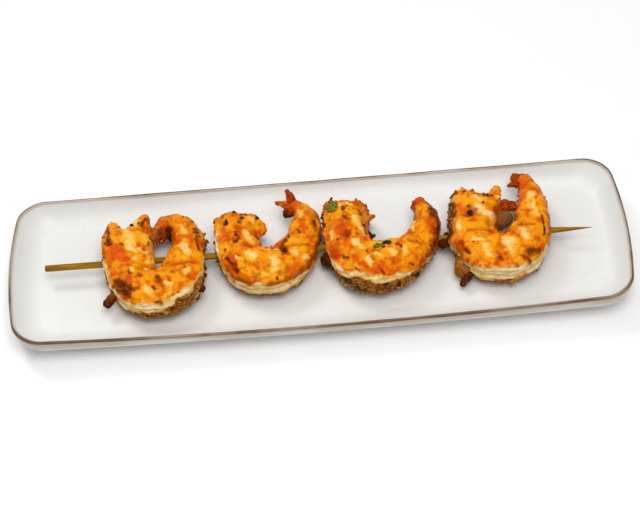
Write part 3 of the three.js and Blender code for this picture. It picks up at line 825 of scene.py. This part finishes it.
def build_plate(material):
    """The plate: its section carried round the outline. The rim dips in mid length by
    RIM_DIP * (1 - (x / half length)^2), more the higher the point is."""
    section = plate_section()
    round_share = (np.arange(640) + 0.5) / 640
    inset, height = section[:, :1], section[:, 1:]
    x, y = plate_outline(round_share[None, :], inset)
    raised = smooth(height, FLOOR_HEIGHT * 0.4, RIM_HEIGHT)
    z = height - RIM_DIP * raised * (1 - (x / (PLATE_LENGTH / 2)) ** 2)
    rings = np.stack([x, y, np.broadcast_to(z, x.shape)], axis=-1)
    throw = layered_noise(rings * [1, 1, 0.2], 22, 5, 2)[..., None]
    hand_made = 0.12 * throw * smooth(height, 9, 14)[..., None]
    rings = rings + hand_made * outward(rings)

    walked = np.cumsum(np.linalg.norm(np.diff(section, axis=0, prepend=section[:1]), axis=1))
    crest = walked[np.argmax(section[:, 1])]
    edge = np.abs(walked - crest - 0.5)[:, None]
    below = smooth(walked - crest, 0.6, 1.6) * (1 - smooth(walked - crest, 4.5, 8.5))
    shells = Shells()
    shells.add(rings, edge=edge, tan=below[:, None])
    return shells.build("plate_glazed", material, "plate")


# Skewer


def build_skewer(material):
    """The stick: rings along X whose radius tapers to a whittled point, slightly out of round."""
    rows = np.concatenate([[0.0, 0.0008, 0.002], np.linspace(0.004, 0.9995, 500)])
    turn = np.linspace(0, 2 * np.pi, 40, endpoint=False)
    place = (rows - 0.5) * SKEWER_LENGTH
    to_point = (SKEWER_LENGTH / 2 - place) / SKEWER_POINT
    radius = SKEWER_DIAMETER / 2 * np.clip(to_point, 0, 1) ** 0.72
    radius = np.maximum(radius, 0.16)
    radius[:3] = [0.4, 1.2, 1.45]
    ring = np.stack(np.broadcast_arrays(place[:, None], np.cos(turn), np.sin(turn)), axis=-1)
    flats = 1 + 0.035 * np.cos(3 * turn + 0.02 * place[:, None])
    fibre = 0.03 * layered_noise(ring * [0.02, 6, 6], 1.0, 3, 2)
    scale = (radius[:, None] * flats + fibre)[..., None]
    points = np.concatenate([ring[..., :1], ring[..., 1:] * scale], axis=-1)
    sway = 0.12 * np.sin(place / 38)[:, None]
    x = points[..., 0]
    y = points[..., 1] + sway * bell(place[:, None], 120)
    turned_x = x * np.cos(SKEWER_TURN) - y * np.sin(SKEWER_TURN)
    turned_y = x * np.sin(SKEWER_TURN) + y * np.cos(SKEWER_TURN) + SKEWER_SHIFT
    rings = np.stack([turned_x, turned_y, points[..., 2] + SKEWER_HEIGHT], axis=-1)
    toast = smooth(x, 104, 124) * 0.9 + 0.5 * bell(x + 48, 5) + 0.5 * bell(x - 8, 6) + 0.4 * bell(x - 64, 8)
    shells = Shells()
    shells.add(rings, toast=toast)
    return shells.build("skewer_bamboo", material, "skewer")

# Shrimp


def middle_line(plan, share):
    """Point and heading at a share of a chain of equal stretches, each an arc with its own bend:
    a chord of stretch * sin(half turn) / (half turn) laid along the mean heading."""
    reach = np.clip(share, 0, 1) * STRETCHES
    x = np.full(np.shape(share), float(plan["start"][0]))
    y = np.full(np.shape(share), float(plan["start"][1]))
    heading = np.full(np.shape(share), np.radians(plan["heading"]))
    for i, bend in enumerate(plan["bends"]):
        part = np.clip(reach - i, 0, 1)
        turn = np.radians(bend) * part
        chord = np.sinc(turn / 2 / np.pi)
        x = x + plan["stretch"] * part * chord * np.cos(heading + turn / 2)
        y = y + plan["stretch"] * part * chord * np.sin(heading + turn / 2)
        heading = heading + turn
    return x, y, heading


def skin(plan, share, angle, cap_scale=1.0, cap_shift=0.0):
    """The plain skin: a rounded box |cos|^(2/p), |sin|^(2/p) across the middle line, with the slit
    along the back and the creases between stretches sunk in, and the cut end's lobes."""
    x, y, heading = middle_line(plan, share)
    head, tail = plan["girth"]
    girth = 1 + (head - 1) * (1 - smooth(share, 0, 0.35)) + (tail - 1) * smooth(share, 0.5, 0.75)
    depth = between(BODY_DEPTH, share) * girth
    thickness = between(BODY_THICKNESS, share)
    power = 2 / SQUARENESS
    cosine = np.sign(np.cos(angle)) * np.abs(np.cos(angle)) ** power
    sine = np.sign(np.sin(angle)) * np.abs(np.sin(angle)) ** power
    place = share * STRETCHES
    crease = bell((place - np.round(place)) * plan["stretch"], 1.2) * (share < 0.93) * (share > 0.07)
    back = np.arctan2(np.sin(angle), np.cos(angle))
    slit = 1.5 * bell(back, 0.3) * (1 - smooth(share, 0.6, 0.8))
    out = (depth - slit - crease * 0.2) * cosine * cap_scale
    up = (thickness - crease * 0.35) * sine * cap_scale
    across = out / BODY_DEPTH[0]
    lobed = sum(reach * bell(across - at, width) for at, width, reach in plan["lobes"])
    behind = cap_shift + lobed * bell(share * STRETCHES * plan["stretch"], 7)
    lift = plan["tail_rise"] * smooth(share, 0.6, 1)
    middle = FLOOR_HEIGHT + GAP + BODY_THICKNESS[3] + 0.35
    return np.stack(
        [
            x + out * np.sin(heading) - behind * np.cos(heading),
            y - out * np.cos(heading) - behind * np.sin(heading),
            middle + lift + up,
        ],
        axis=-1,
    )


def marked(plan, marks, points, ragged):
    """How strongly a set of marks covers each point: 1 at the line between a mark's two ends,
    falling smoothly to 0 at 2.4 radii from it, the distance made ragged by noise."""
    covered = np.zeros(points.shape[:-1])
    for share_a, angle_a, share_b, angle_b, radius in marks:
        a = skin(plan, np.array(float(share_a)), np.radians(float(angle_a)))
        b = skin(plan, np.array(float(share_b)), np.radians(float(angle_b)))
        line = b - a
        part = np.clip(((points - a) @ line) / max(line @ line, 1e-6), 0, 1)
        away = np.linalg.norm(points - a - part[..., None] * line, axis=-1)
        covered = np.maximum(covered, 1 - smooth(away / radius + 0.7 * ragged, 0, 2.4))
    return covered


CAP_ROWS = 26


def shrimp_body(name, plan, shells, rows=400, columns=216):
    """One shrimp's body: the plain skin with a cap at each end, then moved along its normals by
    layered noise, stronger where it is crusted or torn."""
    step = np.arange(1, rows)[:, None] * 1.0
    angle = np.linspace(0, 2 * np.pi, columns, endpoint=False)[None, :] + 0 * step
    head_turn = np.minimum(step / CAP_ROWS, 1) * np.pi / 2
    tail_turn = np.minimum((rows - step) / CAP_ROWS, 1) * np.pi / 2
    share = np.clip((step - CAP_ROWS) / (rows - 2 * CAP_ROWS), 0, 1) + 0 * angle
    shift = HEAD_CAP * np.cos(head_turn) - TAIL_CAP * np.cos(tail_turn)
    scale = np.minimum(np.sin(head_turn), np.sin(tail_turn))
    rings = skin(plan, share, angle, scale, shift)
    normal = outward(rings)

    seed = plan["seed"]
    ragged = layered_noise(rings, 2.2, seed + 40, 2)
    throw = [layered_noise(rings, 3, seed + k, 2) for k in (70, 74, 78)]
    warped = rings + 1.7 * np.stack(throw, axis=-1)
    char, red, cream = (
        marked(plan, MARKS[name][kind], warped, ragged) for kind in ("char", "red", "pale")
    )
    fold = marked(plan, MARKS[name]["fold"], rings, 0.4 * ragged)
    upward = smooth(normal[..., 2], 0.1, 1)
    stretch_middle = 0.5 - 0.5 * np.cos(2 * np.pi * (share * STRETCHES + 0.25 * ragged))
    around = np.degrees(np.arctan2(np.sin(angle), np.cos(angle)))
    wander = 19 * layered_noise(rings, 4, seed, 3)
    top = between(plan["band_top"], share) + wander
    bottom = between(plan["band_bottom"], share) + wander * 1.2
    pale = smooth(around, bottom - 3, bottom + 3) * (1 - smooth(around, top - 2.5, top + 2.5))
    pale = pale * (1 - smooth(share, 0.66, 0.78))
    rind = 0.8 * bell(around - top, 5) + 0.9 * bell(around - bottom, 6)
    crust = (1 - smooth(around, bottom - 5, bottom + 2)) * (around > -160)
    crust = np.maximum(crust, smooth(-normal[..., 2], 0.3, 0.65))

    seam = cell_seams(rings + 1.4 * ragged[..., None], 6.5, seed + 60)
    seam = seam * (1 - pale) * (1 - crust) * smooth(normal[..., 2], -0.2, 0.3)
    # Dark red tail shell, weaker on upward faces: the shell's own colour, with painted shade on its sides and
    # underside.
    shaded_sides = 1 - 0.6 * smooth(normal[..., 2], 0.4, 0.9)
    tail = plan["tail_tint"] * smooth(share + 0.05 * ragged, 0.82, 0.97) * shaded_sides

    coarse = layered_noise(rings, 8, seed + 10, 2)
    lumps = layered_noise(rings, 3.6, seed + 20, 3)
    crumb = np.abs(layered_noise(rings, 2, seed + 30, 3))
    from_cut = share * STRETCHES * plan["stretch"]
    torn = 1 - smooth(from_cut, 1, 7)
    lines = np.sin(np.radians(around) * 22 + 5 * coarse) * (0.6 + 0.8 * lumps)
    height = 0.6 * coarse + 0.85 * lumps * (1 - 0.7 * pale)
    height = height + (0.1 + 1.0 * crust + 1.2 * torn) * (crumb - 0.25)
    height = height + 0.12 * layered_noise(rings, 1.3, seed + 50, 2) * (1 - 0.5 * pale)
    height = height + 0.3 * pale * lines + 0.45 * bell(around - top, 6) * (share < 0.7)
    height = height + 0.25 * cream - 0.5 * fold + 0.25 * char * ragged - 0.25 * seam
    height = height + 2.4 * marked(plan, plan["swells"], rings, ragged)
    height = height * smooth(np.minimum(head_turn, tail_turn), 0, 0.4)
    rings = rings + normal * (height - 0.15)[..., None]
    rings[..., 2] = np.maximum(rings[..., 2], FLOOR_HEIGHT + 0.1)
    relief = height - 0.6 * coarse
    masks = {"pale": pale, "rind": rind, "crust": crust, "char": char, "red": red, "cream": cream}
    # Brighter on upward faces and towards the middle of each stretch: painted top light, scaled by the shrimp's
    # gold value.
    golden = upward * (0.55 + 0.45 * stretch_middle) * plan["golden"]
    shells.add(rings, fold=fold, seam=seam, relief=relief, tail=tail, golden=golden, **masks)
    return rings, outward(rings), crust, torn, bell(around - top, 9) * (share < 0.8)


# How strongly a slip of each finish shows char, red, crust, tail shell, shade and gold tone. The shade finish
# is a dark piece of painted shade, the flap carries some painted shade, and the gold value also carries painted
# top light.
FINISH = {
    "skin": {"char": 0.0, "red": 0.1, "crust": 0.2, "tail": 0.0, "shade": 0.0, "golden": 0.8},
    "flap": {"char": 0.35, "red": 0.0, "crust": 0.75, "tail": 0.0, "shade": 0.25, "golden": 0.4},
    "crust": {"char": 0.35, "red": 0.1, "crust": 0.6, "tail": 0.1, "shade": 0.0, "golden": 0.4},
    "char": {"char": 1.4, "red": 0.0, "crust": 0.9, "tail": 0.2, "shade": 0.0, "golden": 0.2},
    "burnt": {"char": 4.0, "red": 0.0, "crust": 0.4, "tail": 0.0, "shade": 0.0, "golden": 0.0},
    "tail": {"char": 0.3, "red": 0.3, "crust": 0.0, "tail": 0.9, "shade": 0.0, "golden": 0.4},
    "fan": {"char": 0.2, "red": 0.3, "crust": 0.0, "tail": 0.45, "shade": 0.0, "golden": 0.6},
    "shade": {"char": 0.0, "red": 0.0, "crust": 0.5, "tail": 0.0, "shade": 1.0, "golden": 0.0},
}


def slip(plan, shells, place, number):
    """A tapered slip of flesh or shell, or a dark piece of painted shade: rings along a bent axis,
    their radius blending from root to tip and rounded off at both ends, flattened and roughened by noise."""
    share, angle, turn, rise, length, root_radius, tip_radius, finish = place
    root_depth = 0.55 if share < 1 else 0.0
    root = skin(plan, np.array(float(share)), np.radians(float(angle)), root_depth)
    turn, rise = np.radians(turn), np.radians(rise)
    axis = np.array([np.cos(rise) * np.cos(turn), np.cos(rise) * np.sin(turn), np.sin(rise)])
    side = np.cross(axis, [0, 0, 1.0])
    side /= np.linalg.norm(side)
    over = np.cross(side, axis)
    rows = np.linspace(0, 1, 72)[1:-1, None]
    around = np.linspace(0, 2 * np.pi, 52, endpoint=False)[None, :]
    radius = root_radius + (tip_radius - root_radius) * smooth(rows, 0.25, 0.9)
    rounding = np.sqrt(np.clip(1 - ((rows - 0.5) / 0.5) ** (8 if finish == "tail" else 4), 0, 1))
    radius = radius * rounding
    reach = rows * (length + root_radius * 0.6) - root_radius * 0.6
    thin = 0.62 if finish in ("tail", "fan") else 0.8
    rings = (
        root
        + reach[..., None] * axis
        + (1.15 * radius * np.cos(around))[..., None] * side
        + (thin * radius * np.sin(around))[..., None] * over
    )
    seed = plan["seed"] + 100 + number
    lumps = layered_noise(rings, 2.6, seed, 3)
    ridges = 0.12 * np.cos(7 * around + 2 * lumps) * (finish in ("tail", "fan"))
    rough = layered_noise(rings, 1.5, seed + 7, 2)
    height = (0.9 * lumps + 0.55 * rough + ridges) * rounding
    rings = rings + outward(rings) * height[..., None]
    rings[..., 2] = np.maximum(rings[..., 2], FLOOR_HEIGHT + 0.1)
    masks = FINISH[finish]
    tip = smooth(rows, 0.35, 1) + 0 * around
    shells.add(
        rings,
        char=masks["char"] * (0.35 + 0.65 * tip),
        red=masks["red"] * (0.5 + 0.5 * (1 - tip)),
        crust=masks["crust"] + 0.3 * lumps,
        tail=masks["tail"],
        shade=masks["shade"],
        relief=height,
        golden=masks["golden"],
    )


def turned(count, generator):
    """Random turns as count 3 by 3 matrices, from unit quaternions."""
    w, x, y, z = (q := generator.normal(size=(4, count))) / np.linalg.norm(q, axis=0)
    rows = [
        [1 - 2 * (y * y + z * z), 2 * (x * y - z * w), 2 * (x * z + y * w)],
        [2 * (x * y + z * w), 1 - 2 * (x * x + z * z), 2 * (y * z - x * w)],
        [2 * (x * z - y * w), 2 * (y * z + x * w), 1 - 2 * (x * x + y * y)],
    ]
    return np.array(rows).transpose(2, 0, 1)


def scatter_crumbs(shells, rings, normal, weight, count, generator):
    """Crumbs half sunk in a surface: small noisy balls of 6 rings of 8 points at random points,
    picked with the given weights."""
    chance = weight.ravel() / weight.sum()
    picked = generator.choice(len(chance), count, p=chance)
    size = generator.uniform(0.25, 1.0, count) * generator.uniform(0.6, 1.3, count)
    turn = np.linspace(0, 2 * np.pi, 8, endpoint=False)
    tilt = (np.arange(6) + 0.5)[:, None] / 6 * np.pi
    ball = np.stack(np.broadcast_arrays(np.sin(tilt) * np.cos(turn), np.sin(tilt) * np.sin(turn), np.cos(tilt)), axis=-1)
    stretch = generator.uniform(0.35, 1.5, (count, 1, 1, 3))
    lumpy = generator.uniform(0.6, 1.3, (count, *ball.shape[:2], 1))
    lumps = np.einsum("nij,nrcj->nrci", turned(count, generator), ball * stretch * lumpy)
    centre = rings.reshape(-1, 3)[picked] + normal.reshape(-1, 3)[picked] * size[:, None] * 0.2
    placed = centre[:, None, None] + lumps * size[:, None, None, None]
    placed[..., 2] = np.maximum(placed[..., 2], FLOOR_HEIGHT + 0.05)
    shells.add(placed, tone=generator.uniform(0, 1, count))


def add_leaf(shells, rings, normal, place, seed):
    """An herb leaf: rings along its length, a thin ellipse across, wider in the middle by
    sin(pi * share)^0.6, waved by noise, lying on the roughened skin."""
    share, angle, length, width, turn, burn = place
    row = int(CAP_ROWS + share * (len(rings) - 2 * CAP_ROWS))
    column = int(angle / 360 * rings.shape[1]) % rings.shape[1]
    spot = rings[row, column]
    nearby = np.arange(column - 6, column + 7) % rings.shape[1]
    over = normal[row - 9 : row + 10, nearby].mean((0, 1))
    over /= np.linalg.norm(over)
    along = rings[row + 9, column] - rings[row - 9, column]
    across = np.cross(over, along)
    across /= np.linalg.norm(across)
    along = np.cross(across, over)
    angle = np.radians(turn)
    ahead = along * np.cos(angle) + across * np.sin(angle)
    side = np.cross(over, ahead)
    rows = np.linspace(0, 1, 30)[1:-1, None]
    ring = np.linspace(0, 2 * np.pi, 20, endpoint=False)[None, :]
    half = width / 2 * np.sin(np.pi * rows) ** 0.6
    flat = spot + (
        ((rows - 0.5) * length)[..., None] * ahead
        + (half * np.cos(ring))[..., None] * side
        + (0.2 * np.sin(np.pi * rows) ** 0.5 * np.sin(ring))[..., None] * over
    )
    jag = 0.5 * layered_noise(flat, 1.2, seed, 2) * np.cos(ring)
    wave = 0.45 + 0.4 * layered_noise(flat, 2.4, seed + 9, 2)
    flat = flat + jag[..., None] * side + wave[..., None] * over
    burnt = smooth(layered_noise(flat, 2.5, seed + 4, 2) + 1.4 * (burn - 0.5), -0.2, 0.4)
    shells.add(flat, burnt=burnt)


def herb_flecks(shells, rings, normal, count, generator):
    """Small flakes of herb pressed on the skin: flattened balls lying along it."""
    weight = (normal[..., 2] > 0.15).astype(float).ravel()
    picked = generator.choice(len(weight), count, p=weight / weight.sum())
    up = normal.reshape(-1, 3)[picked]
    side = np.cross(up, generator.normal(size=(count, 3)))
    side /= np.linalg.norm(side, axis=1, keepdims=True)
    ahead = np.cross(up, side)
    turn = np.linspace(0, 2 * np.pi, 8, endpoint=False)
    tilt = (np.arange(6) + 0.5)[:, None] / 6 * np.pi
    size = generator.uniform(0.35, 0.95, (count, 1, 1))
    wide = generator.uniform(0.4, 1.0, (count, 1, 1))
    lumpy = size * generator.uniform(0.75, 1.25, (count, 6, 8))
    placed = (
        rings.reshape(-1, 3)[picked][:, None, None]
        + (lumpy * np.sin(tilt) * np.cos(turn))[..., None] * ahead[:, None, None]
        + (lumpy * wide * np.sin(tilt) * np.sin(turn))[..., None] * side[:, None, None]
        + (0.22 * np.cos(tilt) + 0.12 + 0 * lumpy)[..., None] * up[:, None, None]
    )
    shells.add(placed, burnt=generator.uniform(0, 1, count))


def build_shrimp(material, leaf_material, crumb_finish):
    leaves = Shells()
    crumbs = Shells()
    for name, plan in SHRIMP.items():
        shells = Shells()
        generator = np.random.default_rng(plan["seed"])
        rings, normal, crust, torn, border = shrimp_body(name, plan, shells)
        for number, place in enumerate(plan["slips"]):
            slip(plan, shells, place, number)
        shells.build(f"{name}_seared", material, name)
        seen = smooth(normal[..., 2], -0.7, -0.3)
        weight = seen * (crust + 0.14 * torn + 0.08 * border + 0.001)
        scatter_crumbs(crumbs, rings, normal, weight, 200, generator)
        for number, place in enumerate(plan["leaves"]):
            add_leaf(leaves, rings, normal, place, plan["seed"] * 3 + number)
        herb_flecks(leaves, rings, normal, 3, generator)
    leaves.build("herb_leaves", leaf_material)
    crumbs.build("seared_crumbs", crumb_finish)


# Camera, floor and light

VIEW_TARGET = (0.52, -5.34, 16)
VIEW_DISTANCE = 879
VIEW_ELEVATION = 50
VIEW_AZIMUTH = -0.086
VIEW_ROLL = -4.548
LENS = 108.6


def set_camera():
    """A camera on a sphere round the target, turned about its own line of sight by the roll."""
    elevation, azimuth, roll = np.radians([VIEW_ELEVATION, VIEW_AZIMUTH, VIEW_ROLL]).tolist()
    away = Vector(
        (
            np.sin(azimuth) * np.cos(elevation),
            -np.cos(azimuth) * np.cos(elevation),
            np.sin(elevation),
        )
    )
    right = Vector((np.cos(azimuth), np.sin(azimuth), 0))
    up = away.cross(right)
    turned_right = right * np.cos(roll) + up * np.sin(roll)
    turned_up = up * np.cos(roll) - right * np.sin(roll)
    camera = bpy.data.cameras.new("camera")
    camera.lens = LENS
    camera.sensor_width = 36
    camera.clip_start = 0.01
    view = bpy.data.objects.new("camera", camera)
    place = Vector(VIEW_TARGET) * MM + away * VIEW_DISTANCE * MM
    rotation = Matrix((turned_right, turned_up, away)).transposed().to_4x4()
    view.matrix_world = Matrix.Translation(place) @ rotation
    bpy.context.scene.collection.objects.link(view)
    bpy.context.scene.camera = view


def add_light(name, place, size, power, tint=(1, 1, 1)):
    """A square area light aimed at the plate."""
    light = bpy.data.lights.new(name, "AREA")
    light.size = size
    light.energy = power
    light.color = tint
    lamp = bpy.data.objects.new(name, light)
    lamp.location = place
    aim = Vector((0, 0, 0.01)) - Vector(place)
    lamp.rotation_euler = aim.to_track_quat("-Z", "Y").to_euler()
    bpy.context.scene.collection.objects.link(lamp)


def build_stage():
    """A wide pale floor under the plate, a white world, a small soft light from the back left, a larger and
    stronger one in front and one above.
    """
    reach = 6.0
    corners = [(-reach, -reach, 0), (reach, -reach, 0), (reach, reach, 0), (-reach, reach, 0)]
    mesh = bpy.data.meshes.new("floor")
    mesh.from_pydata(corners, [], [(0, 1, 2, 3)])
    material, nodes, shader = new_material("floor_white")
    shader.inputs["Base Color"].default_value = (0.99, 0.99, 0.99, 1)
    shader.inputs["Roughness"].default_value = 0.9
    shader.inputs["Specular IOR Level"].default_value = 0.1
    mesh.materials.append(material)
    floor = bpy.data.objects.new("floor", mesh)
    bpy.context.scene.collection.objects.link(floor)

    world = bpy.data.worlds.new("soft_room")
    world.use_nodes = True
    world.node_tree.nodes["Background"].inputs["Color"].default_value = (1, 1, 1, 1)
    world.node_tree.nodes["Background"].inputs["Strength"].default_value = 0.3
    scene = bpy.context.scene
    scene.world = world
    scene.view_settings.view_transform = "Standard"
    add_light("back_softbox", (-0.5, 0.58, 0.93), 0.35, 3.3)
    add_light("front_softbox", (0.15, -0.45, 1.2), 0.7, 7.8)
    add_light("top_softbox", (0, 0.1, 1.3), 0.8, 3.2)


set_camera()
build_stage()
build_plate(glaze_material())
build_skewer(bamboo_material())
build_shrimp(shrimp_material(), herb_material(), crumb_material())
